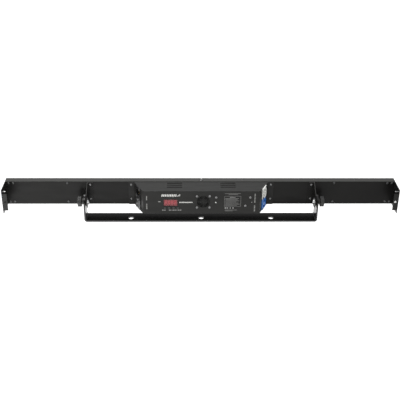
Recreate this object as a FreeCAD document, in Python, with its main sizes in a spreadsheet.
"""LED batten: a metre-long stage light in a steel and aluminium housing, with a rear control box,
hung from a U-shaped yoke that clamps on two pivot bolts.

Frame: +X along the batten, +Y the way the light shines, +Z up. The origin is the centre of the
yoke's middle clamp hole, on the yoke's outer face. All sizes are in millimetres.
"""
import FreeCAD, Part
import os
import re

import Sketcher

# ---------------------------------------------------------------- driving sizes

SIZES = (
    # housing
    ("housing_length", 1000, "over both end plates"),
    ("housing_height", 65, "rear tray and end plates"),
    ("tray_depth", 20, "depth of the rear tray's flanges"),
    ("front_depth", 26, "depth of the bevelled front past the tray"),
    ("bevel_drop", 15, "height that each bevel loses towards the front"),
    ("steel_wall", 1.5, "sheet of the rear tray"),
    ("profile_wall", 2, "wall of the front housing"),
    ("lip_depth", 12, "lip of the front housing inside the tray"),
    ("opening_height", 29, "light opening in the front"),
    ("opening_web", 9, "web left at each end of the light opening"),
    ("bend_radius", 1.2, "outside radius of a folded edge"),
    ("bevel_lift", 1.4, "inner corner of a bevel over the front's outer corner"),
    ("seat_gap", 0.2, "clearance of a piece that sits inside another"),
    # end plates
    ("plate_wall", 2, "sheet of the end plates"),
    ("plate_reach", 50, "how far an end plate stands behind the tray"),
    ("plate_flange", 13, "width of its rear flange"),
    ("flange_top_gap", 10, "flange starts this far under the plate's top"),
    ("flange_low_gap", 8.5, "flange ends this far over the plate's foot"),
    ("tab_length", 26, "fixing tab inside the tray"),
    ("tab_gap", 4, "tab is this much shorter than the tray at top and foot"),
    ("link_hole_radius", 2.2, "hole in the rear flange"),
    ("link_hole_inset", 8, "from the outer face to the flange hole"),
    ("link_bolt_reach", 36, "link bolt's distance behind the tray"),
    ("link_bolt_rise", 22, "link bolt over mid height"),
    ("link_head_radius", 4, "link bolt's domed head"),
    ("link_head_height", 2.6, "link bolt's domed head"),
    ("link_bolt_length", 8, "link bolt's shank"),
    ("link_screw_radius", 1.9, "shank of the screw in the rear flange"),
    # yoke and pivots
    ("pivot_height", 49, "pivot axis over the yoke's outer face"),
    ("pivot_setback", 25, "pivot axis behind the tray"),
    ("pivot_drop", 11.5, "pivot axis under the housing's mid height"),
    ("yoke_half_span", 298, "centre to the outside of an arm"),
    ("yoke_width", 40, "flat bar width"),
    ("yoke_wall", 4, "flat bar thickness"),
    ("yoke_bend", 7, "outside radius of the yoke's bends"),
    ("clamp_hole_radius", 7, "three holes for hook clamps"),
    ("clamp_hole_pitch", 180, "centre hole to an outer hole"),
    ("clamp_hole_shift", 5, "clamp holes behind the bar's centre line"),
    ("bolt_radius", 4, "pivot bolt"),
    ("bolt_head_radius", 5.5, "domed head on the inside of the bracket"),
    ("bolt_head_height", 4.5, "domed head"),
    ("running_gap", 0.06, "radial clearance of a shaft that turns in a hole"),
    ("play", 0.3, "side play between faces that turn past each other"),
    ("friction_wall", 2, "friction washer thickness"),
    ("friction_radius", 11, "friction washer"),
    ("washer_wall", 1.5, "clamp washer thickness"),
    ("washer_radius", 9, "clamp washer"),
    ("knob_radius", 13.5, "grip over its lobes"),
    ("knob_depth", 10, "grip length"),
    ("knob_neck_radius", 7.5, "neck between grip and washer"),
    ("knob_neck", 4.5, "neck length"),
    ("knob_cap", 3, "solid end of the knob past its bore"),
    ("lobe_radius", 4.5, "hollow between two lobes"),
    ("bracket_wall", 2, "sheet of the tilt brackets"),
    ("bracket_flange", 14.5, "width of the flange on the tray"),
    ("bracket_rise", 31, "bracket top over mid height"),
    ("bracket_reach", 43, "bracket's depth behind the tray"),
    ("bracket_shoulder", 12, "height over mid at which the slope ends"),
    ("bracket_foot", 29, "bracket foot under mid height"),
    ("bracket_sole", 30.1, "depth of its foot behind the tray"),
    ("bracket_shoulder_depth", 4, "straight top edge before the slope"),
    ("bracket_corner", 3, "radius of the bracket's outer corners"),
    ("bracket_screw_inset", 6.75, "flange screws from the flange's inner edge"),
    ("rivet_rise", 8.5, "stop rivet over the pivot axis"),
    ("rivet_head_radius", 2.4, "stop rivet"),
    ("rivet_head_height", 1.2, "stop rivet"),
    ("knob_edge", 1.2, "radius along the knob's edges"),
    ("washer_gap", 0.2, "clearance of a washer on its bolt"),
    # screws
    ("screw_radius", 1.5, "shank of the small screws"),
    ("screw_head_radius", 3.1, "domed head"),
    ("screw_head_height", 2, "domed head"),
    ("screw_length", 5, "shank under the head"),
    ("screw_gap", 0.1, "clearance of a shank in its hole"),
    ("wall_screw_x", 342, "heatsink stays"),
    ("wall_screw_rise", 28, "upper row over mid height"),
    ("wall_screw_drop", 25, "lower row under mid height"),
    ("end_screw_inner", 20, "from the batten's end"),
    ("end_screw_outer", 8.5, "from the batten's end"),
    ("side_screw_rise", 24, "bracket and box screws over mid height"),
    ("side_screw_drop", 16.5, "bracket and box screws under mid height"),
    ("seam_screw_first", 107, "first seam screw from the middle"),
    ("seam_screw_pitch", 145, "between seam screws"),
    ("seam_screw_depth", 13, "in front of the tray's rear wall"),
    # control box
    ("box_far_half", 172, "half width where the box meets the tray"),
    ("box_near_half", 147, "half width of the rear face"),
    ("box_depth", 52, "how far the box stands behind the tray"),
    ("box_wall", 1.5, "sheet of the box"),
    ("box_drop", 1.2, "box top under the tray's top"),
    ("box_flange", 14, "fixing flange beside each slanted side"),
    ("vent_length", 38.5, "slots in the top and floor of the box"),
    ("vent_width", 3.4, "slots"),
    ("vent_pitch", 11, "between slots"),
    ("vent_first", 7, "first slot behind the tray"),
    ("vent_x", 68, "centre of each slot group"),
    # controls
    ("display_x", -78, "centre of the display"),
    ("display_drop", 1, "centre of the display under mid height"),
    ("display_width", 34, "cut-out"),
    ("display_height", 17, "cut-out"),
    ("display_lip", 2, "filter's lip behind the cut-out"),
    ("filter_wall", 1, "lip's thickness"),
    ("digit_block_width", 30.4, "display module"),
    ("digit_block_height", 14, "display module"),
    ("digit_block_depth", 7, "display module"),
    ("button_x", -76, "middle of the row of buttons"),
    ("button_pitch", 11, "between buttons"),
    ("button_drop", 15.5, "row of buttons under mid height"),
    ("button_radius", 2.5, "cap"),
    ("button_stand", 1.6, "cap's height over the face"),
    ("button_collar", 0.9, "collar past the cap's radius"),
    ("button_travel", 0.8, "press"),
    ("button_stem_radius", 1.2, "stem behind a cap"),
    ("button_clearance", 0.1, "cap in its hole"),
    ("switch_side", 6, "square switch under each button"),
    ("switch_height", 3.5, "switch"),
    ("board_width", 64, "control board"),
    ("board_height", 52, "control board"),
    ("board_wall", 1.6, "board thickness"),
    ("standoff_inset", 4, "from the board's edges"),
    ("standoff_radius", 2.4, "standoff"),
    ("lamp_x", 36, "small indicator lamp"),
    ("lamp_radius", 1.5, "small indicator lamp"),
    ("lamp_collar", 0.8, "collar past the lamp's radius"),
    ("fan_x", 4.6, "fan centre"),
    ("fan_rise", 1.4, "fan centre over mid height"),
    ("fan_side", 40, "fan frame"),
    ("fan_depth", 10, "fan frame"),
    ("fan_hole_inset", 4, "fan screws from the frame's sides"),
    ("fan_rim", 1.4, "frame left beside its bore"),
    ("blade_gap", 0.8, "blade tips to the bore"),
    ("hub_radius", 9, "rotor hub"),
    ("hub_start", 1, "hub's face behind the box's sheet"),
    ("hub_gap", 0.7, "hub's end to the spokes"),
    ("fan_pin_radius", 1.5, "fixed pin that the rotor turns on"),
    ("fan_spoke", 2, "spokes across the back of the frame"),
    ("fan_back", 1.5, "depth of the spokes"),
    ("blade_wall", 1, "fan blade"),
    ("blade_width", 5.5, "fan blade"),
    ("blade_set_back", 3.4, "blade's corner in front of the frame's back"),
    ("grille_first", 3.2, "inner radius of the first ring slot"),
    ("grille_pitch", 3.5, "between ring slots"),
    ("grille_slot", 2.2, "width of a ring slot"),
    ("grille_web", 1.6, "webs across the rings"),
    ("supply_x", 80, "power supply centre"),
    ("supply_width", 96, "power supply"),
    ("supply_height", 50, "power supply"),
    ("supply_depth", 26, "power supply"),
    ("supply_sag", 2, "power supply's centre under mid height"),
    ("supply_screw_inset", 5, "upper screws from the supply's sides"),
    ("supply_screw_rise", 14, "upper screws over mid height"),
    ("supply_low_inset", 17, "lower screw from the supply's right side"),
    ("supply_screw_drop", 9.5, "lower screw under mid height"),
    ("spare_hole_x", 127, "unused fixing hole beside the lower screw"),
    ("spare_hole_radius", 1.3, "unused fixing hole"),
    ("terminal_width", 34, "terminal block on the supply"),
    ("terminal_height", 9, "terminal block"),
    ("terminal_depth", 6, "terminal block"),
    # sockets
    ("socket_rise", 15.6, "socket centres over and under mid height"),
    ("socket_width", 26, "flange"),
    ("socket_height", 31, "flange"),
    ("socket_flange", 2, "flange thickness"),
    ("socket_radius", 11.8, "barrel behind the flange"),
    ("socket_depth", 20, "barrel behind the panel"),
    ("socket_hole_x", 9.5, "screw beside the centre"),
    ("socket_hole_z", 12, "screw over the centre"),
    ("socket_corner", 2.5, "radius of the flange's corners"),
    ("signal_cup_radius", 9.5, "signal socket's cup"),
    ("signal_cup_depth", 13, "signal socket's cup"),
    ("pin_radius", 1.2, "signal pins"),
    ("pin_circle", 4, "radius of the circle through the pins"),
    ("pin_set_back", 2.5, "pin ends behind the cup's mouth"),
    ("pin_room", 0.5, "radial room round a pin in the signal outlet"),
    ("insert_gap", 1.8, "ring gap between the outlet's insert and its cup"),
    ("mains_cup_radius", 11, "mains socket's ring cavity"),
    ("mains_cup_depth", 15, "mains socket's ring cavity"),
    ("mains_core_radius", 5.4, "mains socket's core"),
    ("mains_slot_depth", 7, "contact slots in the core"),
    ("mains_key_width", 3, "key rib in the ring cavity"),
    ("mains_key_depth", 1, "key rib"),
    ("latch_width", 6.4, "release tab of the signal outlet"),
    ("latch_height", 3, "release tab"),
    ("latch_rise", 11.4, "release tab over the socket's centre"),
    ("latch_stand", 2, "tab's height over the flange"),
    ("latch_length", 7, "tab"),
    ("latch_travel", 1.2, "press"),
    ("latch_gap", 0.15, "tab in its slot"),
    # light engine
    ("sink_wall", 5, "heatsink plate"),
    ("fin_depth", 6, "heatsink fins"),
    ("fin_wall", 1.6, "heatsink fins"),
    ("module_gap", 1, "between two light boards"),
    ("end_margin", 5, "light boards to the end plates"),
    ("light_board_height", 30, "light board"),
    ("emitter_side", 5, "light chip"),
    ("emitter_height", 1.4, "light chip"),
    ("lens_gap", 0.6, "chip to lens"),
    ("lens_back_radius", 4.6, "lens at the chip"),
    ("lens_front_radius", 12.6, "lens at the front"),
    ("lens_depth", 11, "lens"),
    ("lens_plate", 1.5, "plate that joins the lenses of a strip"),
    ("peg_radius", 1.5, "lens strip's feet"),
    ("peg_inset", 3, "feet and board screws from the board's long edges"),
    ("window_wall", 3, "clear front window"),
    ("window_inset", 1.6, "window's edges inside the front's corners"),
    ("gasket_wall", 1, "seal behind the front face"),
    ("stay_width", 14, "heatsink stay's feet"),
    ("stay_wall", 1.5, "heatsink stay"),
    ("stay_foot", 19.6, "its front foot past the wall screws"),
    ("stay_gap", 0.4, "stay to the front housing's lips"),
    # wiring and safety loop
    ("harness_radius", 3, "wiring bundle"),
    ("branch_radius", 2.5, "branch through the grommet"),
    ("harness_half", 430, "bundle's reach each side of the middle"),
    ("harness_depth", 9, "bundle in front of the rear wall"),
    ("harness_drop", 14, "bundle under mid height"),
    ("grommet_x", -62, "where the bundle enters the box"),
    ("grommet_wall", 2.4, "grommet around the bundle"),
    ("grommet_lip", 2, "grommet's lips past its hole"),
    ("grommet_flange", 1.5, "thickness of each lip"),
    ("plug_width", 12, "plug on the control board"),
    ("plug_side", 8, "plug's height and depth"),
    ("loop_wire", 1.3, "safety loop's wire radius"),
    ("loop_half", 3.6, "half the distance between its legs"),
    ("loop_leg", 1.6, "straight leg over the tray"),
    ("loop_depth", 9, "loop's middle in front of the rear wall"),
    ("loop_collar", 0.8, "collar past the wire's radius"),
    ("loop_foot", 2, "legs past the tray's top sheet"),
)

LIGHTS_PER_BOARD = 6
LIGHT_BOARDS = 4
KNOB_LOBES = 6
FAN_BLADES = 7
GRILLE_RINGS = 4
VENT_SLOTS = 3
SEAM_SCREWS = 3
BUTTONS = 4
BLADE_PITCH = 130
# a light board's feet and screws, in light pitches from its middle
FIXING_STEPS = (-2, 0, 2)
FIN_RISES = (-18, -2, 6, 18)
PIN_ANGLES = (150, 30, 270)
# contact slots of a mains core: left, low, right, high
MAINS_SLOTS = ((-0.6, 1.4, 0.6, 4.2), (-3.6, -2.6, -1.2, -1.5), (1.2, -2.6, 3.6, -1.5))
# a screw's cross: width and length over the head's radius, floor over its height
CROSS_WIDTH = 0.28
CROSS_LENGTH = 1.15
CROSS_FLOOR = 0.45
# a light chip: body and dome over its height, dome's foot and top over its side
CHIP_BODY = 0.6
CHIP_DOME = 0.5
DOME_FOOT = 0.42
DOME_TOP = 0.24
# how far the middle of a knob's hollow lies outside its grip, in hollow radii
LOBE_OUT = 0.55
# how far a cutting tool runs past the face that it cuts
PAST = 1

# places worked out from the driving sizes, as formulas of the same words
PLACES = {
    "mid_z": "pivot_height + pivot_drop",
    "top_z": "mid_z + housing_height / 2",
    "low_z": "mid_z - housing_height / 2",
    "pivot_y": "clamp_hole_shift",
    "rear_y": "pivot_y + pivot_setback",
    "seam_y": "rear_y + tray_depth",
    "front_y": "seam_y + front_depth",
    "end_x": "housing_length / 2",
    "inner_x": "end_x - plate_wall",
    "plate_y": "rear_y - plate_reach",
    "arm_in": "yoke_half_span - yoke_wall",
    "bracket_out": "arm_in - play - friction_wall",
    "bracket_in": "bracket_out - bracket_wall",
    "neck_x": "yoke_half_span + washer_wall + play",
    "box_height": "housing_height - box_drop",
    "face_y": "rear_y - box_depth",
    "skin_y": "face_y + box_wall",
    "side_slope": "(box_far_half - box_near_half) / box_depth",
    "side_shift": "box_wall * sqrt(1 + side_slope * side_slope)",
    "side_turn": "90 deg - atan(side_slope)",
    "socket_x": "(box_far_half + box_near_half) / 2",
    "socket_y": "rear_y - box_depth / 2",
    "display_z": "mid_z - display_drop",
    "digit_y": "skin_y + filter_wall + seat_gap",
    "board_y": "digit_y + digit_block_depth",
    "board_x": "display_x",
    "button_z": "mid_z - button_drop",
    "fan_z": "mid_z + fan_rise",
    "profile_lip": "housing_height / 2 - steel_wall",
    "window_y": "front_y - profile_wall - gasket_wall - window_wall",
    "window_half": "housing_height / 2 - bevel_drop - window_inset",
    "sink_y": "seam_y - sink_wall",
    "light_y": "seam_y + board_wall",
    "lens_y": "light_y + emitter_height + lens_gap",
    "board_pitch": "2 * (inner_x - end_margin) / %d" % LIGHT_BOARDS,
    "light_pitch": "board_pitch / %d" % LIGHTS_PER_BOARD,
    "harness_y": "rear_y + harness_depth",
    "harness_z": "mid_z - harness_drop",
    "loop_y": "rear_y + loop_depth",
    "plug_foot": "board_y + board_wall",
    "fan_hole_spacing": "fan_side - 2 * fan_hole_inset",
    "fan_bore_radius": "fan_side / 2 - fan_rim",
    "rotor_radius": "fan_bore_radius - blade_gap",
    "supply_z": "mid_z - supply_sag - supply_height / 2",
    "fan_back_y": "skin_y + fan_depth",
}

WORD = re.compile(r"[a-z][a-z_0-9]*")
VECTOR = FreeCAD.Vector
ACROSS_X = VECTOR(1, 0, 0)
ACROSS_Y = VECTOR(0, 1, 0)
UPRIGHT = VECTOR(0, 0, 1)

# turns that point a piece drawn along +Z another way
TURNS = {
    "+X": (ACROSS_Y, 90),
    "-X": (ACROSS_Y, -90),
    "+Y": (ACROSS_X, -90),
    "-Y": (ACROSS_X, 90),
    "+Z": (UPRIGHT, 0),
    "-Z": (ACROSS_X, 180),
}

doc = FreeCAD.newDocument("led_batten")
dims = doc.addObject("Spreadsheet::Sheet", "dims")
for row, (alias, value, meaning) in enumerate(SIZES, start=1):
    dims.set("A%d" % row, alias)
    dims.set("B%d" % row, str(value))
    dims.set("C%d" % row, meaning)
    dims.setAlias("B%d" % row, alias)
probe = doc.addObject("App::FeaturePython", "probe")
doc.recompute()

ALIASES = {alias for alias, value, meaning in SIZES}
nodes = {}
pockets = []


# ---------------------------------------------------------------- helpers

def linked(formula):
    """Spell a formula out in sheet aliases, the way an object's expression needs it."""
    def swap(match):
        word = match.group(0)
        if word in ALIASES:
            return "dims." + word
        if word in PLACES:
            return "(" + linked(PLACES[word]) + ")"
        return word
    return WORD.sub(swap, str(formula))


def bind(item, prop, formula):
    """Drive one property of an object from the sheet."""
    item.setExpression(prop, linked(formula))


def number(item, formula):
    """A formula's present value."""
    return float(item.evalExpression(linked(formula)))


def place(item, corner, facing="+Z"):
    """Turn an object from +Z to a direction and bind its position."""
    axis, angle = TURNS[facing]
    item.Placement = FreeCAD.Placement(VECTOR(0, 0, 0), FreeCAD.Rotation(axis, angle))
    for letter, formula in zip("xyz", corner):
        bind(item, "Placement.Base." + letter, formula)
    return item


def keep(name, item):
    """Name a finished sub-part, which is written out under that name."""
    item.Label = name
    nodes[name] = item
    return item


def block(low, size):
    """A box from its lowest corner and its size."""
    item = doc.addObject("Part::Box", "block")
    bind(item, "Length", size[0])
    bind(item, "Width", size[1])
    bind(item, "Height", size[2])
    return place(item, low)


def rod(foot, radius, length, facing="+Z"):
    """A cylinder from the centre of its foot, along a direction."""
    item = doc.addObject("Part::Cylinder", "rod")
    bind(item, "Radius", radius)
    bind(item, "Height", length)
    return place(item, foot, facing)


def cone(foot, foot_radius, end_radius, length, facing):
    """A cone from the centre of its foot, along a direction."""
    item = doc.addObject("Part::Cone", "cone")
    bind(item, "Radius1", foot_radius)
    bind(item, "Radius2", end_radius)
    bind(item, "Height", length)
    return place(item, foot, facing)


def fused(*items):
    """One solid from several that overlap or touch."""
    item = doc.addObject("Part::MultiFuse", "joined")
    item.Shapes = list(items)
    item.Refine = True
    return item


def less(base, *tools):
    """A base with tools cut away."""
    item = doc.addObject("Part::Cut", "cut")
    item.Base = base
    item.Tool = tools[0] if len(tools) == 1 else group(*tools)
    return item


def group(*items):
    """Separate solids kept together in one node."""
    item = doc.addObject("Part::Compound", "group")
    item.Links = list(items)
    return item


def copy_at(source, corner, facing="+Z"):
    """A copy of a piece drawn at the origin, moved to its place."""
    item = doc.addObject("App::Link", "copy")
    item.LinkedObject = source
    return place(item, corner, facing)


def turned_copy(source, corner, turn):
    """A copy turned about the upright axis by a formula's angle."""
    item = doc.addObject("App::Link", "turned")
    item.LinkedObject = source
    item.Placement = FreeCAD.Placement(VECTOR(0, 0, 0), FreeCAD.Rotation(UPRIGHT, 45))
    bind(item, "Placement.Rotation.Angle", turn)
    for letter, formula in zip("xyz", corner):
        bind(item, "Placement.Base." + letter, formula)
    return item


def mirrored(source):
    """The left-hand copy of a right-hand piece."""
    item = doc.addObject("Part::Mirroring", "mirrored")
    item.Source = source
    item.Normal = ACROSS_X
    return item


def both_sides(name, right):
    """Keep a right-hand piece and its mirror image."""
    keep(name + "_right", right)
    keep(name + "_left", mirrored(right))


def rectangle(left, low, right, high):
    return [(left, low), (right, low), (right, high), (left, high)]


def draw(body, plane, offset, loops):
    """A sketch on one of the body's origin planes: a list is an outline, a triple is a circle."""
    drawing = body.newObject("Sketcher::SketchObject", body.Name + "_sketch")
    roles = [part for part in body.Origin.OriginFeatures if part.Role == plane + "_Plane"]
    drawing.AttachmentSupport = [(roles[0], "")]
    drawing.MapMode = "FlatFace"
    sign = "-1" if plane == "XZ" else "1"
    bind(drawing, "AttachmentOffset.Base.z", "%s * (%s)" % (sign, offset))
    for loop in loops:
        if isinstance(loop, tuple):
            draw_circle(drawing, *loop)
        else:
            draw_outline(drawing, loop)
    return drawing


def fix(drawing, kind, where, formula):
    """A dimension of a sketch, driven from the sheet."""
    constraint = Sketcher.Constraint(kind, *where, number(drawing, formula))
    index = drawing.addConstraint(constraint)
    bind(drawing, "Constraints[%d]" % index, formula)


def draw_circle(drawing, across, up, radius):
    centre = VECTOR(number(drawing, across), number(drawing, up), 0)
    ring = drawing.addGeometry(Part.Circle(centre, UPRIGHT, number(drawing, radius)), False)
    fix(drawing, "Radius", (ring,), radius)
    fix(drawing, "DistanceX", (-1, 1, ring, 3), across)
    fix(drawing, "DistanceY", (-1, 1, ring, 3), up)


def draw_outline(drawing, corners):
    points = [VECTOR(number(drawing, across), number(drawing, up), 0) for across, up in corners]
    ends = points[1:] + points[:1]
    lines = [drawing.addGeometry(Part.LineSegment(a, b), False) for a, b in zip(points, ends)]
    for line, after in zip(lines, lines[1:] + lines[:1]):
        drawing.addConstraint(Sketcher.Constraint("Coincident", line, 2, after, 1))
    for line, (across, up) in zip(lines, corners):
        fix(drawing, "DistanceX", (-1, 1, line, 1), across)
        fix(drawing, "DistanceY", (-1, 1, line, 1), up)


def new_body(name):
    return doc.addObject("PartDesign::Body", name)


def pad(body, plane, start, length, loops):
    """Material from a start plane, the positive way along the axis."""
    feature = body.newObject("PartDesign::Pad", body.Name + "_pad")
    feature.Profile = draw(body, plane, start, loops)
    feature.Reversed = plane == "XZ"
    bind(feature, "Length", length)
    return feature


def pocket(body, plane, start, length, loops):
    """A cut from a start plane, the positive way along the axis."""
    feature = body.newObject("PartDesign::Pocket", body.Name + "_pocket")
    feature.Profile = draw(body, plane, start, loops)
    feature.Reversed = plane != "XZ"
    bind(feature, "Length", length)
    pockets.append(feature)
    return feature


def round_edges(body, radius, wanted):
    """Fillet the edges of the body's tip that a test picks by their two ends."""
    doc.recompute()
    tip = body.Tip
    names = []
    for index, edge in enumerate(tip.Shape.Edges, start=1):
        if len(edge.Vertexes) == 2 and wanted(edge.Vertexes[0].Point, edge.Vertexes[1].Point):
            names.append("Edge%d" % index)
    feature = body.newObject("PartDesign::Fillet", body.Name + "_fillet")
    feature.Base = (tip, names)
    bind(feature, "Radius", radius)
    return feature


def near(value, target):
    return abs(value - target) < 0.01


def now(formula):
    """A formula's present value, for picking edges."""
    return number(probe, formula)


# ---------------------------------------------------------------- screws

def dome_screw(head_radius, head_height, shank_radius, shank_length):
    """A cross-head screw drawn with its seat at the origin and its head towards +Z."""
    ball_radius = "(({0})^2 + ({1})^2) / (2 * ({1}))".format(head_radius, head_height)
    ball = doc.addObject("Part::Sphere", "dome")
    bind(ball, "Radius", ball_radius)
    place(ball, (0, 0, "%s - %s" % (head_height, ball_radius)))
    head = doc.addObject("Part::Common", "head")
    head.Base = ball
    head.Tool = rod((0, 0, 0), head_radius, head_height)
    shank = rod((0, 0, "-(%s)" % shank_length), shank_radius, shank_length)
    slot_width = "%s * %g" % (head_radius, CROSS_WIDTH)
    slot_length = "%s * %g" % (head_radius, CROSS_LENGTH)
    slot_z = "%s * %g" % (head_height, CROSS_FLOOR)
    corner = ("-(%s) / 2" % slot_length, "-(%s) / 2" % slot_width, slot_z)
    slot = block(corner, (slot_length, slot_width, head_height))
    corner = ("-(%s) / 2" % slot_width, "-(%s) / 2" % slot_length, slot_z)
    cross = block(corner, (slot_width, slot_length, head_height))
    return less(fused(head, shank), slot, cross)


SCREW = dome_screw("screw_head_radius", "screw_head_height", "screw_radius", "screw_length")
DRILL_REACH = 12
DRILL = group(rod((0, 0, -DRILL_REACH), "screw_radius + screw_gap", 2 * DRILL_REACH))


def screws(name, *rows_of_places):
    """A node of identical screws, and one drill group per row of places to clear the shanks."""
    places = sum(rows_of_places, [])
    keep(name, group(*[copy_at(SCREW, spot, facing) for spot, facing in places]))
    return [group(*[copy_at(DRILL, spot, facing) for spot, facing in row])
            for row in rows_of_places]


def rows(across, depth):
    """Two screws, one over the other, as the brackets and the box flanges have them."""
    return [((across, depth, "mid_z + side_screw_rise"), "-Y"),
            ((across, depth, "mid_z - side_screw_drop"), "-Y")]


upper = "mid_z + wall_screw_rise"
lower = "mid_z - wall_screw_drop"
wall_places = [((side + "wall_screw_x", "rear_y", z), "-Y") for side in "+-" for z in (upper, lower)]

end_places = []
for side in "+-":
    for inset in ("end_screw_inner", "end_screw_outer"):
        for z in (upper, lower):
            end_places.append((("%s(end_x - %s)" % (side, inset), "rear_y", z), "-Y"))

seam_places = []
for step in range(SEAM_SCREWS):
    along = "seam_screw_first + %d * seam_screw_pitch" % step
    seam_places.append(((along, "rear_y + seam_screw_depth", "top_z"), "+Z"))
    seam_places.append((("-(%s)" % along, "rear_y + seam_screw_depth", "low_z"), "-Z"))
wall_drills, end_drills, seam_drills = screws("housing_screws", wall_places, end_places, seam_places)

bracket_screw_x = "(bracket_out - bracket_flange + bracket_screw_inset)"
bracket_places = []
box_places = []
for side in "+-":
    bracket_places += rows(side + bracket_screw_x, "rear_y - bracket_wall")
    box_places += rows(side + "(box_far_half + box_flange / 2)", "rear_y - box_wall")
bracket_drills, box_drills = screws("flange_screws", bracket_places, box_places)

fan_places = []
for side in "+-":
    for rise in "+-":
        spot = ("fan_x %s fan_hole_spacing / 2" % side, "face_y", "fan_z %s fan_hole_spacing / 2" % rise)
        fan_places.append((spot, "-Y"))

supply_high = "mid_z + supply_screw_rise"
supply_places = [
    (("supply_x - supply_width / 2 + supply_screw_inset", "face_y", supply_high), "-Y"),
    (("supply_x + supply_width / 2 - supply_screw_inset", "face_y", supply_high), "-Y"),
    (("supply_x + supply_width / 2 - supply_low_inset", "face_y", "mid_z - supply_screw_drop"), "-Y"),
]
fan_drills, supply_drills = screws("face_screws", fan_places, supply_places)


# ---------------------------------------------------------------- wiring, drawn first to clear it

WIRE_ROOM = 1
harness_start = "-(harness_half)"
harness = fused(
    rod((harness_start, "harness_y", "harness_z"), "harness_radius", "2 * harness_half", "+X"),
    rod(("grommet_x", "harness_y", "harness_z"), "branch_radius",
        "harness_y - plug_foot - plug_side", "-Y"),
)
keep("wiring_harness", harness)
harness_passage = rod((harness_start, "harness_y", "harness_z"), "harness_radius + %g" % WIRE_ROOM,
                      "2 * harness_half", "+X")
plug_low = ("grommet_x - plug_width / 2", "plug_foot", "harness_z - plug_side / 2")
keep("board_plug", block(plug_low, ("plug_width", "plug_side", "plug_side")))

hole_radius = "branch_radius + grommet_wall"
lip_radius = "branch_radius + grommet_wall + grommet_lip"
grommet_spot = ("grommet_x", "rear_y - grommet_flange", "harness_z")
grommet_depth = "steel_wall + 2 * grommet_flange"
grommet = less(
    fused(
        rod(grommet_spot, lip_radius, "grommet_flange", "+Y"),
        rod(grommet_spot, hole_radius + " - screw_gap", grommet_depth, "+Y"),
        rod(("grommet_x", "rear_y + steel_wall", "harness_z"), lip_radius, "grommet_flange", "+Y"),
    ),
    rod(grommet_spot, "branch_radius + screw_gap", grommet_depth, "+Y"),
)
keep("cable_grommet", grommet)


# ---------------------------------------------------------------- housing

def make_rear_tray():
    """Folded steel channel that closes the back and carries everything behind it."""
    body = new_body("tray")
    section = [
        ("rear_y", "low_z"),
        ("seam_y", "low_z"),
        ("seam_y", "low_z + steel_wall"),
        ("rear_y + steel_wall", "low_z + steel_wall"),
        ("rear_y + steel_wall", "top_z - steel_wall"),
        ("seam_y", "top_z - steel_wall"),
        ("seam_y", "top_z"),
        ("rear_y", "top_z"),
    ]
    pad(body, "YZ", "-(inner_x)", "2 * (inner_x)", [section])
    rear = now("rear_y")
    round_edges(body, "bend_radius",
                lambda a, b: near(a.y, rear) and near(b.y, rear) and near(a.z, b.z))
    passage = rod(("grommet_x", "rear_y", "harness_z"), hole_radius, "steel_wall", "+Y")
    return less(body, wall_drills, end_drills, seam_drills, bracket_drills, box_drills, passage,
                loop_holes)


def loop_legs(radius):
    """The safety loop's two legs, through the tray's top."""
    legs = []
    for side in "+-":
        foot = (0, "loop_y %s loop_half" % side, "top_z - steel_wall - loop_foot")
        legs.append(rod(foot, radius, "loop_leg + steel_wall + loop_foot"))
    return legs


def make_safety_loop():
    """Wire loop for a safety wire: two legs and a half ring."""
    bow = doc.addObject("Part::Torus", "bow")
    bind(bow, "Radius1", "loop_half")
    bind(bow, "Radius2", "loop_wire")
    bow.Angle3 = 180
    place(bow, (0, "loop_y", "top_z + loop_leg"))
    upright = FreeCAD.Rotation(ACROSS_Y, UPRIGHT, ACROSS_X, "ZXY")
    bow.Placement = FreeCAD.Placement(bow.Placement.Base, upright)
    collars = []
    for side in "+-":
        foot = (0, "loop_y %s loop_half" % side, "top_z")
        collars.append(rod(foot, "loop_wire + loop_collar", "loop_collar"))
    return fused(bow, *loop_legs("loop_wire"), *collars)


def make_front_housing():
    """Aluminium channel with bevelled shoulders and the light opening."""
    body = new_body("front")
    section = [
        ("seam_y - lip_depth", "mid_z - profile_lip"),
        ("seam_y", "mid_z - profile_lip"),
        ("seam_y", "low_z"),
        ("front_y", "low_z + bevel_drop"),
        ("front_y", "top_z - bevel_drop"),
        ("seam_y", "top_z"),
        ("seam_y", "mid_z + profile_lip"),
        ("seam_y - lip_depth", "mid_z + profile_lip"),
        ("seam_y - lip_depth", "mid_z + profile_lip - profile_wall"),
        ("seam_y", "mid_z + profile_lip - profile_wall"),
        ("front_y - profile_wall", "top_z - bevel_drop - bevel_lift"),
        ("front_y - profile_wall", "low_z + bevel_drop + bevel_lift"),
        ("seam_y", "mid_z - profile_lip + profile_wall"),
        ("seam_y - lip_depth", "mid_z - profile_lip + profile_wall"),
    ]
    pad(body, "YZ", "-(inner_x)", "2 * (inner_x)", [section])
    opening = rectangle("-(inner_x - opening_web)", "mid_z - opening_height / 2",
                        "inner_x - opening_web", "mid_z + opening_height / 2")
    pocket(body, "XZ", "front_y - profile_wall - %g" % PAST, "profile_wall + %g" % (2 * PAST), [opening])
    front = now("front_y")
    inner = now("inner_x")
    round_edges(body, "bend_radius", lambda a, b: near(a.y, front) and near(b.y, front)
                and near(abs(a.x), inner) and near(a.z, b.z))
    return less(body, seam_drills, loop_holes)


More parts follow.
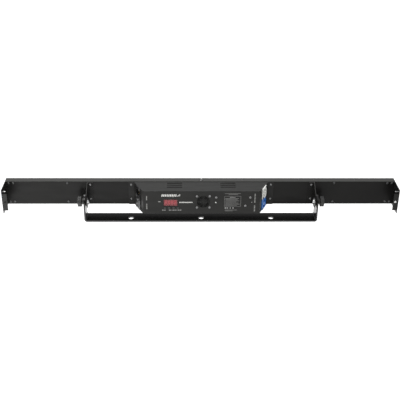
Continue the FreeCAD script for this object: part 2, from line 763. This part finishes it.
def make_end_plate():
    """Right-hand end plate: profile plate, rear flange and the tab screwed inside the tray."""
    body = new_body("plate")
    outline = [
        ("plate_y", "low_z"),
        ("seam_y", "low_z"),
        ("front_y", "low_z + bevel_drop"),
        ("front_y", "top_z - bevel_drop"),
        ("seam_y", "top_z"),
        ("plate_y", "top_z"),
    ]
    link_bolt = ("plate_y + plate_reach - link_bolt_reach", "mid_z + link_bolt_rise",
                 "screw_radius + screw_gap")
    pad(body, "YZ", "inner_x", "plate_wall", [outline, link_bolt])
    flange = rectangle("end_x - plate_flange", "low_z + flange_low_gap",
                       "end_x - plate_wall / 2", "top_z - flange_top_gap")
    hole = ("end_x - link_hole_inset", "mid_z", "link_hole_radius")
    pad(body, "XZ", "plate_y", "plate_wall", [flange, hole])
    tab = rectangle("end_x - tab_length", "low_z + steel_wall + tab_gap",
                    "end_x - plate_wall / 2", "top_z - steel_wall - seat_gap")
    pad(body, "XZ", "rear_y + steel_wall", "steel_wall", [tab])
    return less(body, end_drills)


def make_link_bolts():
    """Domed bolts through the end plates, for linking battens end to end."""
    bolts = []
    for side, facing in (("+", "+X"), ("-", "-X")):
        spot = ("%s(end_x)" % side, "rear_y - link_bolt_reach", "mid_z + link_bolt_rise")
        bolts.append(copy_at(LINK_BOLT, spot, facing))
    return group(*bolts)


LINK_BOLT = dome_screw("link_head_radius", "link_head_height", "screw_radius", "link_bolt_length")
loop_holes = group(*loop_legs("loop_wire + screw_gap"))

keep("rear_tray", make_rear_tray())
keep("safety_loop", make_safety_loop())
keep("front_housing", make_front_housing())
both_sides("end_plate", make_end_plate())
keep("link_bolts", make_link_bolts())
flange_spot = ("end_x - link_hole_inset", "plate_y", "mid_z")
link_screw = dome_screw("screw_head_radius", "screw_head_height", "link_screw_radius", "screw_length")
keep("link_screw", copy_at(link_screw, flange_spot, "-Y"))


# ---------------------------------------------------------------- light engine

def make_heatsink():
    """Aluminium plate the light boards sit on, with fins into the tray."""
    body = new_body("sink")
    half = "(profile_lip - profile_wall - seat_gap)"
    reach = "(inner_x - end_margin)"
    plate = rectangle("sink_y", "mid_z - " + half, "seam_y", "mid_z + " + half)
    pad(body, "YZ", "-" + reach, "2 * " + reach, [plate])
    fin_half = "(wall_screw_x - 2 * stay_width)"
    for rise in FIN_RISES:
        fin = rectangle("sink_y - fin_depth", "mid_z + %d - fin_wall / 2" % rise,
                        "sink_y + sink_wall / 2", "mid_z + %d + fin_wall / 2" % rise)
        pad(body, "YZ", "-" + fin_half, "2 * " + fin_half, [fin])
    return less(body, board_drills)


def make_stay():
    """Right-hand Z-shaped stay from the tray's rear wall to the heatsink."""
    body = new_body("stay")
    back = "rear_y + steel_wall"
    outline = [
        ("wall_screw_x - stay_width / 2", back),
        ("wall_screw_x + stay_width / 2 + stay_wall", back),
        ("wall_screw_x + stay_width / 2 + stay_wall", "sink_y - stay_wall"),
        ("wall_screw_x + stay_foot", "sink_y - stay_wall"),
        ("wall_screw_x + stay_foot", "sink_y"),
        ("wall_screw_x + stay_width / 2", "sink_y"),
        ("wall_screw_x + stay_width / 2", back + " + stay_wall"),
        ("wall_screw_x - stay_width / 2", back + " + stay_wall"),
    ]
    half = "(profile_lip - profile_wall - stay_gap)"
    pad(body, "XY", "mid_z - " + half, "2 * " + half, [outline])
    return less(body, wall_drills, harness_passage)


def board_middle(index):
    """Centre of one light board along the batten."""
    return "board_pitch * (%d - %g)" % (index, (LIGHT_BOARDS - 1) / 2)


def light_offsets():
    """Where the lights of one board stand from its middle."""
    return ["light_pitch * (%d - %g)" % (index, (LIGHTS_PER_BOARD - 1) / 2)
            for index in range(LIGHTS_PER_BOARD)]


def make_lens_strip():
    """Moulded strip of lenses, drawn about the origin with its back on the board."""
    length = "(board_pitch - module_gap)"
    gap = "emitter_height + lens_gap"
    pieces = [block(("-%s / 2" % length, gap + " + lens_depth - lens_plate",
                     "-(light_board_height) / 2"), (length, "lens_plate", "light_board_height"))]
    for along in light_offsets():
        pieces.append(cone((along, gap, 0), "lens_back_radius", "lens_front_radius",
                           "lens_depth", "+Y"))
    for step in FIXING_STEPS:
        peg = ("light_pitch * %d" % step, 0, "light_board_height / 2 - peg_inset")
        pieces.append(rod(peg, "peg_radius", gap + " + lens_depth - lens_plate / 2", "+Y"))
    return fused(*pieces)


def make_emitters():
    """Light chips with a small clear dome, one under each lens."""
    chip = block(("-(emitter_side) / 2", 0, "-(emitter_side) / 2"),
                 ("emitter_side", "emitter_height * %g" % CHIP_BODY, "emitter_side"))
    dome_height = "emitter_height * %g" % CHIP_DOME
    dome = cone((0, dome_height, 0), "emitter_side * %g" % DOME_FOOT, "emitter_side * %g" % DOME_TOP,
                dome_height, "+Y")
    master = fused(chip, dome)
    chips = []
    for board in range(LIGHT_BOARDS):
        for along in light_offsets():
            spot = ("%s + %s" % (board_middle(board), along), "light_y", "mid_z")
            chips.append(copy_at(master, spot))
    return group(*chips)


board_screw_places = []
for board in range(LIGHT_BOARDS):
    for step in FIXING_STEPS:
        spot = ("%s + light_pitch * %d" % (board_middle(board), step), "light_y",
                "mid_z - light_board_height / 2 + peg_inset")
        board_screw_places.append((spot, "+Y"))
board_drills, = screws("board_screws", board_screw_places)

keep("heatsink", make_heatsink())
both_sides("heatsink_stay", make_stay())
lens_strip = make_lens_strip()
for board in range(LIGHT_BOARDS):
    low = ("%s - (board_pitch - module_gap) / 2" % board_middle(board), "seam_y",
           "mid_z - light_board_height / 2")
    panel = block(low, ("board_pitch - module_gap", "board_wall", "light_board_height"))
    keep("light_board_%d" % (board + 1), less(panel, board_drills))
    strip = copy_at(lens_strip, (board_middle(board), "light_y", "mid_z"))
    heads = group(*[rod(spot, "screw_head_radius + stay_gap", "lens_gap + 2 * lens_depth", facing)
                    for spot, facing in board_screw_places])
    keep("lens_strip_%d" % (board + 1), less(group(strip), heads))
keep("light_chips", make_emitters())


# ---------------------------------------------------------------- front window

def make_window():
    reach = "(inner_x - seat_gap)"
    return block(("-" + reach, "window_y", "mid_z - window_half"),
                 ("2 * " + reach, "window_wall", "2 * (window_half)"))


def make_gasket():
    """Flat seal round the light opening."""
    body = new_body("gasket")
    reach = "(inner_x - seat_gap)"
    outer = rectangle("-" + reach, "mid_z - window_half", reach, "mid_z + window_half")
    inner = rectangle("-(inner_x - opening_web)", "mid_z - opening_height / 2",
                      "inner_x - opening_web", "mid_z + opening_height / 2")
    pad(body, "XZ", "window_y + window_wall", "gasket_wall", [outer, inner])
    return body


keep("front_window", make_window())
keep("window_gasket", make_gasket())


# ---------------------------------------------------------------- yoke and pivots

def make_yoke():
    """Flat bar folded to a U, with round arm ends and three clamp holes."""
    body = new_body("yoke")
    top = "pivot_height + yoke_width / 2"
    strap = [
        ("-(yoke_half_span)", 0),
        ("yoke_half_span", 0),
        ("yoke_half_span", top),
        ("arm_in", top),
        ("arm_in", "yoke_wall"),
        ("-(arm_in)", "yoke_wall"),
        ("-(arm_in)", top),
        ("-(yoke_half_span)", top),
    ]
    pad(body, "XZ", "pivot_y - yoke_width / 2", "yoke_width", [strap])
    holes = [("%d * clamp_hole_pitch" % step, 0, "clamp_hole_radius") for step in (-1, 0, 1)]
    pocket(body, "XY", -PAST, "yoke_wall + %g" % (2 * PAST), holes)
    pivot = ("pivot_y", "pivot_height", "bolt_radius + running_gap")
    pocket(body, "YZ", "-(yoke_half_span) - %g" % PAST, "2 * (yoke_half_span + %g)" % PAST, [pivot])
    high = now(top)
    outside = now("yoke_half_span")
    inside = now("arm_in")
    wall = now("yoke_wall")
    round_edges(body, "yoke_bend",
                lambda a, b: near(abs(a.x), outside) and near(a.z, 0) and near(a.x, b.x) and near(b.z, 0))
    round_edges(body, "yoke_bend - yoke_wall",
                lambda a, b: near(abs(a.x), inside) and near(a.z, wall) and near(a.x, b.x)
                and near(b.z, wall))
    round_edges(body, "yoke_width / 2 - 0.2",
                lambda a, b: near(a.z, high) and near(b.z, high) and near(a.y, b.y))
    return body


def make_bracket():
    """Right-hand tilt bracket: a gusset plate with a flange on the tray."""
    body = new_body("bracket")
    gusset = [
        ("rear_y", "mid_z - bracket_foot"),
        ("rear_y", "mid_z + bracket_rise"),
        ("rear_y - bracket_shoulder_depth", "mid_z + bracket_rise"),
        ("rear_y - bracket_reach", "mid_z + bracket_shoulder"),
        ("rear_y - bracket_reach", "mid_z - bracket_shoulder"),
        ("rear_y - bracket_sole", "mid_z - bracket_foot + bracket_wall"),
    ]
    pivot = ("pivot_y", "pivot_height", "bolt_radius + screw_gap")
    rivet = ("pivot_y", "pivot_height + rivet_rise", "screw_radius + screw_gap")
    pad(body, "YZ", "bracket_in", "bracket_wall", [gusset, pivot, rivet])
    flange = rectangle("bracket_out - bracket_flange", "mid_z - bracket_foot",
                       "bracket_out - bracket_wall / 2", "mid_z + bracket_rise")
    pad(body, "XZ", "rear_y - bracket_wall", "bracket_wall", [flange])
    reach = now("rear_y - bracket_reach")
    round_edges(body, "bracket_corner",
                lambda a, b: near(a.y, reach) and near(b.y, reach) and near(a.z, b.z))
    return less(body, bracket_drills)


def make_pivot_bolt():
    """Right-hand pivot bolt: domed head inside the bracket, shank out into the knob."""
    length = "neck_x + knob_neck + knob_depth - knob_cap - bracket_in"
    master = dome_screw("bolt_head_radius", "bolt_head_height", "bolt_radius", length)
    return group(copy_at(master, ("bracket_in", "pivot_y", "pivot_height"), "-X"))


def make_knob():
    """Right-hand clamp knob, drawn on the pivot axis."""
    body = new_body("knob")
    pad(body, "YZ", "neck_x", "knob_neck", [(0, 0, "knob_neck_radius")])
    pad(body, "YZ", "neck_x + knob_neck", "knob_depth", [(0, 0, "knob_radius")])
    hollow = pocket(body, "YZ", "neck_x + knob_neck - %g" % PAST, "knob_depth + %g" % (2 * PAST),
                    [(0, "knob_radius + lobe_radius * %g" % LOBE_OUT, "lobe_radius")])
    lobes = body.newObject("PartDesign::PolarPattern", "knob_lobes")
    lobes.Originals = [hollow]
    axis = [part for part in body.Origin.OriginFeatures if part.Role == "X_Axis"]
    lobes.Axis = (axis[0], [""])
    lobes.Angle = 360
    lobes.Occurrences = KNOB_LOBES
    body.Tip = lobes
    pocket(body, "YZ", "neck_x - %g" % PAST, "knob_neck + knob_depth - knob_cap + %g + play" % PAST,
           [(0, 0, "bolt_radius + running_gap")])
    outer = now("neck_x + knob_neck + knob_depth")
    inner = now("neck_x + knob_neck")
    bore = now("bolt_radius + 1")
    round_edges(body, "knob_edge",
                lambda a, b: near(a.x, b.x) and (near(a.x, outer) or near(a.x, inner))
                and max(abs(a.y), abs(a.z)) > bore)
    return place(body, (0, "pivot_y", "pivot_height"))


def make_rivets():
    """Stop rivets on the inside of the tilt brackets."""
    master = dome_screw("rivet_head_radius", "rivet_head_height", "screw_radius", "bracket_wall")
    spots = [("bracket_in", "pivot_y", "pivot_height + rivet_rise"),
             ("-(bracket_in)", "pivot_y", "pivot_height + rivet_rise")]
    return group(copy_at(master, spots[0], "-X"), copy_at(master, spots[1], "+X"))


def washer_pair(name, start, outer, wall):
    """One washer on each pivot bolt."""
    spot = (start, "pivot_y", "pivot_height")
    right = less(rod(spot, outer, wall, "+X"), rod(spot, "bolt_radius + washer_gap", wall, "+X"))
    keep(name, group(right, mirrored(right)))


keep("yoke", make_yoke())
both_sides("tilt_bracket", make_bracket())
bolt = make_pivot_bolt()
keep("pivot_bolts", group(bolt, mirrored(bolt)))
washer_pair("friction_washers", "bracket_out", "friction_radius", "friction_wall")
washer_pair("clamp_washers", "yoke_half_span", "washer_radius", "washer_wall")
both_sides("knob", make_knob())
keep("stop_rivets", make_rivets())


# ---------------------------------------------------------------- sockets, drawn facing -Y

def socket_screws(corner, turn):
    """Two screws on opposite corners of a socket's flange."""
    pair = group(copy_at(SCREW, ("socket_hole_x", "-(socket_flange)", "socket_hole_z"), "-Y"),
                 copy_at(SCREW, ("-(socket_hole_x)", "-(socket_flange)", "-(socket_hole_z)"), "-Y"))
    return turned_copy(pair, corner, turn)


def socket_drills():
    """Drills for a flange's two screws."""
    return group(copy_at(DRILL, ("socket_hole_x", 0, "socket_hole_z"), "-Y"),
                 copy_at(DRILL, ("-(socket_hole_x)", 0, "-(socket_hole_z)"), "-Y"))


def socket_blank(name):
    """Square flange with a barrel behind it."""
    body = new_body(name)
    flange = rectangle("-(socket_width) / 2", "-(socket_height) / 2",
                       "socket_width / 2", "socket_height / 2")
    pad(body, "XZ", "-(socket_flange)", "socket_flange", [flange])
    half = now("socket_width / 2")
    round_edges(body, "socket_corner",
                lambda a, b: near(abs(a.x), half) and near(a.x, b.x) and near(a.z, b.z))
    pad(body, "XZ", "-(socket_flange) / 2", "socket_depth + socket_flange / 2",
        [(0, 0, "socket_radius")])
    return body


def mouth_pocket(body, depth, loops):
    """A cut into a socket from the mouth of its flange."""
    return pocket(body, "XZ", "-(socket_flange) - %g" % PAST, "%s + %g" % (depth, PAST), loops)


def pin_spots():
    """Centres of three signal pins, at the corners of a triangle."""
    return [("pin_circle * cos(%d)" % angle, "pin_circle * sin(%d)" % angle)
            for angle in PIN_ANGLES]


CUP_FLOOR = "signal_cup_depth - socket_flange"


def make_signal_inlet():
    """Signal input: an open cup round three pins."""
    body = socket_blank("inlet")
    mouth_pocket(body, "signal_cup_depth", [(0, 0, "signal_cup_radius")])
    return less(body, socket_drills())


def make_signal_pins():
    return group(*[rod((x, CUP_FLOOR, z), "pin_radius", "signal_cup_depth - pin_set_back", "-Y")
                   for x, z in pin_spots()])


def make_signal_outlet():
    """Signal output: an open cup, with the release tab's slot over it."""
    body = socket_blank("outlet")
    mouth_pocket(body, "signal_cup_depth", [(0, 0, "signal_cup_radius")])
    slot = rectangle("-(latch_width / 2 + latch_gap)", "latch_rise - latch_height / 2 - latch_gap",
                     "latch_width / 2 + latch_gap", "latch_rise + latch_height / 2 + latch_gap")
    mouth_pocket(body, "latch_length + latch_travel", [slot])
    return less(body, socket_drills())


def make_signal_insert():
    """Contact carrier in the signal output's cup, with a hole for each pin of a plug."""
    core = rod((0, CUP_FLOOR, 0), "signal_cup_radius - insert_gap", "signal_cup_depth", "-Y")
    holes = [rod((x, CUP_FLOOR, z), "pin_radius + pin_room", "signal_cup_depth", "-Y")
             for x, z in pin_spots()]
    return less(core, *holes)


def make_latch():
    """Release tab of the signal output."""
    body = new_body("latch")
    tab = rectangle("-(latch_width) / 2", "latch_rise - latch_height / 2",
                    "latch_width / 2", "latch_rise + latch_height / 2")
    pad(body, "XZ", "-(socket_flange + latch_stand)", "latch_length", [tab])
    return body


def make_mains_socket(name):
    """Round mains socket: a ring cavity round a core with three contact slots."""
    body = socket_blank(name)
    mouth_pocket(body, "mains_cup_depth", [(0, 0, "mains_cup_radius"), (0, 0, "mains_core_radius")])
    mouth_pocket(body, "mains_slot_depth", [rectangle(*corners) for corners in MAINS_SLOTS])
    key = rectangle("-(mains_key_width) / 2", "mains_cup_radius - mains_key_depth",
                    "mains_key_width / 2", "mains_cup_radius + mains_key_depth / 2")
    pad(body, "XZ", "0", "mains_cup_depth - socket_flange", [key])
    return less(body, socket_drills())


SOCKETS = {
    "left_upper": ("-(socket_x)", "mid_z + socket_rise", "-(side_turn)"),
    "left_lower": ("-(socket_x)", "mid_z - socket_rise", "-(side_turn)"),
    "right_upper": ("socket_x", "mid_z + socket_rise", "side_turn"),
    "right_lower": ("socket_x", "mid_z - socket_rise", "side_turn"),
}


def at_socket(where, source):
    """Put a piece drawn facing -Y onto the box's slanted side."""
    across, up, turn = SOCKETS[where]
    return turned_copy(source, (across, "socket_y", up), turn)


keep("signal_in_shell", group(at_socket("left_upper", make_signal_inlet())))
keep("signal_in_pins", group(at_socket("left_upper", make_signal_pins())))
keep("signal_out_shell", group(at_socket("left_lower", make_signal_outlet())))
keep("signal_out_insert", group(at_socket("left_lower", group(make_signal_insert()))))
keep("signal_out_latch", group(at_socket("left_lower", make_latch())))
keep("mains_out_socket", group(at_socket("right_upper", make_mains_socket("mains_out"))))
keep("mains_in_socket", group(at_socket("right_lower", make_mains_socket("mains_in"))))
keep("socket_screws", group(*[socket_screws((across, "socket_y", up), turn)
                              for across, up, turn in SOCKETS.values()]))
panel_hole = rod((0, -PAST, 0), "socket_radius + seat_gap", "socket_depth", "+Y")
latch_hole = block(("-(latch_width / 2 + latch_gap)", -PAST, 0),
                   ("latch_width + 2 * latch_gap", "socket_depth",
                    "latch_rise + latch_height / 2 + latch_gap"))
socket_cutters = [at_socket(where, group(panel_hole, socket_drills())) for where in SOCKETS]
socket_cutters.append(at_socket("left_lower", group(latch_hole)))


# ---------------------------------------------------------------- control box

def grille_cutter():
    """Ring slots in front of the fan, with two webs left across them."""
    rings = []
    spot = ("fan_x", "face_y", "fan_z")
    for step in range(GRILLE_RINGS):
        inner = "grille_first + %d * grille_pitch" % step
        rings.append(less(rod(spot, inner + " + grille_slot", "box_wall", "+Y"),
                          rod(spot, inner, "box_wall", "+Y")))
    half = "fan_side / 2"
    webs = [block(("fan_x - " + half, "face_y", "fan_z - grille_web / 2"),
                  ("fan_side", "box_wall", "grille_web")),
            block(("fan_x - grille_web / 2", "face_y", "fan_z - " + half),
                  ("grille_web", "box_wall", "fan_side"))]
    return less(group(*rings), *webs)


def make_control_box():
    """Folded box with slanted sides: display, buttons, fan grille, vents and sockets."""
    body = new_body("box")
    outside = [
        ("-(box_far_half)", "rear_y"),
        ("-(box_near_half)", "face_y"),
        ("box_near_half", "face_y"),
        ("box_far_half", "rear_y"),
    ]
    pad(body, "XY", "low_z", "box_height", [outside])
    near_in = "(box_near_half + box_wall * side_slope - side_shift)"
    far_in = "(box_far_half - side_shift)"
    inside = [("-" + far_in, "rear_y"), ("-" + near_in, "skin_y"), (near_in, "skin_y"),
              (far_in, "rear_y")]
    pocket(body, "XY", "low_z + box_wall", "box_height - 2 * box_wall", [inside])
    face = now("face_y")
    round_edges(body, "bend_radius", lambda a, b: near(a.y, face) and near(b.y, face))
    for side in "+-":
        edges = ["%s%s" % (side, far_in), "%s(box_far_half + box_flange)" % side]
        if side == "-":
            edges.reverse()
        pad(body, "XZ", "rear_y - box_wall", "box_wall",
            [rectangle(edges[0], "low_z", edges[1], "low_z + box_height")])
    slots = []
    for side in "+-":
        for step in range(VENT_SLOTS):
            y = "rear_y - vent_first - %d * vent_pitch" % step
            slots.append(rectangle("%svent_x - vent_length / 2" % side, y + " - vent_width / 2",
                                   "%svent_x + vent_length / 2" % side, y + " + vent_width / 2"))
    pocket(body, "XY", "low_z - %g" % PAST, "housing_height + %g" % (2 * PAST), slots)
    cut_out = rectangle("display_x - display_width / 2", "display_z - display_height / 2",
                        "display_x + display_width / 2", "display_z + display_height / 2")
    holes = [(button_across(index), "button_z", "button_radius + button_clearance")
             for index in range(BUTTONS)]
    lamp = ("lamp_x", "mid_z", "lamp_radius + screw_gap")
    spare = ("spare_hole_x", "mid_z", "spare_hole_radius")
    pocket(body, "XZ", "face_y - %g" % PAST, "box_wall + %g" % (2 * PAST), [cut_out, lamp, spare] + holes)
    return less(body, grille_cutter(), box_drills, fan_drills, supply_drills, *socket_cutters)


def button_across(index):
    return "button_x + button_pitch * (%d - %g)" % (index, (BUTTONS - 1) / 2)


def make_button(index):
    """Cap through the face, collar behind it and a stem towards its switch."""
    across = button_across(index)
    collar_y = "skin_y + seat_gap"
    stem = "board_y - switch_height - button_travel - play - (%s)" % collar_y
    return fused(
        rod((across, "face_y - button_stand", "button_z"), "button_radius",
            "button_stand + box_wall + seat_gap", "+Y"),
        rod((across, collar_y, "button_z"), "button_radius + button_collar", "button_collar", "+Y"),
        rod((across, collar_y, "button_z"), "button_stem_radius", stem, "+Y"),
    )


def make_display_window():
    """Red filter, flush with the face, with a lip behind the cut-out."""
    body = new_body("filter")
    gap = "seat_gap / 2"
    front = rectangle("display_x - display_width / 2 + " + gap, "display_z - display_height / 2 + " + gap,
                      "display_x + display_width / 2 - " + gap, "display_z + display_height / 2 - " + gap)
    pad(body, "XZ", "face_y + seat_gap", "box_wall", [front])
    lip = rectangle("display_x - display_width / 2 - display_lip",
                    "display_z - display_height / 2 - display_lip",
                    "display_x + display_width / 2 + display_lip",
                    "display_z + display_height / 2 + display_lip")
    pad(body, "XZ", "skin_y", "filter_wall", [lip])
    return body


def make_standoffs():
    """Four posts between the face and the control board."""
    posts = []
    for side in "+-":
        for rise in "+-":
            x = "board_x %s (board_width / 2 - standoff_inset)" % side
            z = "display_z %s (board_height / 2 - standoff_inset)" % rise
            posts.append(rod((x, "skin_y", z), "standoff_radius", "board_y - (skin_y)", "+Y"))
    return group(*posts)


def make_switches():
    """One square switch on the board behind each button."""
    cells = []
    for index in range(BUTTONS):
        low = ("%s - switch_side / 2" % button_across(index), "board_y - switch_height",
               "button_z - switch_side / 2")
        cells.append(block(low, ("switch_side", "switch_height", "switch_side")))
    return group(*cells)


keep("control_box", make_control_box())
keep("display_window", make_display_window())
digit_low = ("display_x - digit_block_width / 2", "digit_y", "display_z - digit_block_height / 2")
digit_size = ("digit_block_width", "digit_block_depth", "digit_block_height")
keep("display_module", block(digit_low, digit_size))
keep("control_board", block(("board_x - board_width / 2", "board_y", "display_z - board_height / 2"),
                            ("board_width", "board_wall", "board_height")))
keep("board_standoffs", make_standoffs())
keep("button_switches", make_switches())
for index in range(BUTTONS):
    keep("menu_button_%d" % (index + 1), make_button(index))
lamp = fused(
    rod(("lamp_x", "face_y - lamp_collar", "mid_z"), "lamp_radius", "box_wall + 2 * lamp_collar", "+Y"),
    rod(("lamp_x", "skin_y", "mid_z"), "lamp_radius + lamp_collar", "lamp_collar", "+Y"),
)
keep("indicator_lamp", lamp)


# ---------------------------------------------------------------- fan and power supply

def make_fan_frame():
    """Square fan frame with its air passage, rear spokes and the rotor's pin."""
    body = new_body("fan")
    half = "fan_side / 2"
    square = rectangle("fan_x - " + half, "fan_z - " + half, "fan_x + " + half, "fan_z + " + half)
    pad(body, "XZ", "skin_y", "fan_depth", [square, ("fan_x", "fan_z", "fan_bore_radius")])
    centre = ("fan_x", "fan_back_y", "fan_z")
    mount = rod(centre, "hub_radius", "fan_back", "-Y")
    pin = rod(centre, "fan_pin_radius", "fan_depth - 2 * hub_start", "-Y")
    reach = "(fan_bore_radius + %g)" % PAST
    spokes = [block(("fan_x - " + reach, "fan_back_y - fan_back", "fan_z - fan_spoke / 2"),
                    ("2 * " + reach, "fan_back", "fan_spoke")),
              block(("fan_x - fan_spoke / 2", "fan_back_y - fan_back", "fan_z - " + reach),
                    ("fan_spoke", "fan_back", "2 * " + reach))]
    return less(fused(body, mount, pin, *spokes), fan_drills)


def make_blade():
    """One pitched blade on the +X side of the axis, drawn about the origin."""
    blade = doc.addObject("Part::Box", "blade")
    bind(blade, "Length", "rotor_radius - hub_radius + %g" % PAST)
    bind(blade, "Width", "blade_wall")
    bind(blade, "Height", "blade_width")
    blade.Placement = FreeCAD.Placement(VECTOR(0, 0, 0), FreeCAD.Rotation(ACROSS_X, BLADE_PITCH))
    bind(blade, "Placement.Base.x", "hub_radius - %g" % PAST)
    bind(blade, "Placement.Base.y", "fan_depth - blade_set_back")
    bind(blade, "Placement.Base.z", "blade_width / 3")
    return group(blade)


def make_fan_rotor():
    """Hub with pitched blades, bored for the frame's pin."""
    start = "skin_y + hub_start"
    hub = rod(("fan_x", start, "fan_z"), "hub_radius", "fan_depth - fan_back - hub_start - hub_gap", "+Y")
    master = make_blade()
    blades = []
    for index in range(FAN_BLADES):
        blade = doc.addObject("App::Link", "turned_blade")
        blade.LinkedObject = master
        turn = FreeCAD.Rotation(ACROSS_Y, 360 / FAN_BLADES * index)
        blade.Placement = FreeCAD.Placement(VECTOR(0, 0, 0), turn)
        blades.append(blade)
    wheel = doc.addObject("Part::Common", "wheel")
    wheel.Base = fused(*blades)
    wheel.Tool = rod((0, 0, 0), "rotor_radius", "fan_depth", "+Y")
    seated = copy_at(group(wheel), ("fan_x", "skin_y", "fan_z"))
    bore = rod(("fan_x", start + " + blade_wall", "fan_z"), "fan_pin_radius + running_gap",
               "fan_depth", "+Y")
    return less(fused(hub, seated), bore)


keep("fan_frame", make_fan_frame())
keep("fan_rotor", make_fan_rotor())


def make_power_supply():
    """Closed metal case with a terminal block behind it and a pocket for the lamp's collar."""
    case = block(("supply_x - supply_width / 2", "skin_y", "supply_z"),
                 ("supply_width", "supply_depth", "supply_height"))
    terminals = block(("supply_x - supply_width / 2 + supply_screw_inset",
                       "skin_y + supply_depth - %g" % PAST, "supply_z + supply_screw_inset"),
                      ("terminal_width", "terminal_depth + %g" % PAST, "terminal_height"))
    lamp_pocket = rod(("lamp_x", "skin_y", "mid_z"), "lamp_radius + 2 * lamp_collar",
                      "2 * lamp_collar", "+Y")
    return less(fused(case, terminals), supply_drills, lamp_pocket)


keep("power_supply", make_power_supply())


# ---------------------------------------------------------------- check and write

doc.recompute()
for item in doc.Objects:
    if "Invalid" in item.State or "Error" in item.State:
        raise RuntimeError("%s failed: %s" % (item.Name, item.State))
for cut in pockets:
    if not cut.Shape.Volume < cut.BaseFeature.Shape.Volume - 0.01:
        raise RuntimeError("%s cut nothing" % cut.Name)

os.makedirs("parts", exist_ok=True)
for name, item in nodes.items():
    shape = Part.getShape(item)
    if shape.isNull() or not shape.isValid() or not shape.Solids:
        raise RuntimeError("%s has no valid solid" % name)
    shape.exportStep("parts/%s.step" % name)
    box = shape.BoundBox
    print("%-20s %2d solids  x %7.1f %7.1f  y %6.1f %6.1f  z %6.1f %6.1f"
          % (name, len(shape.Solids), box.XMin, box.XMax, box.YMin, box.YMax, box.ZMin, box.ZMax))
print(len(nodes), "nodes")
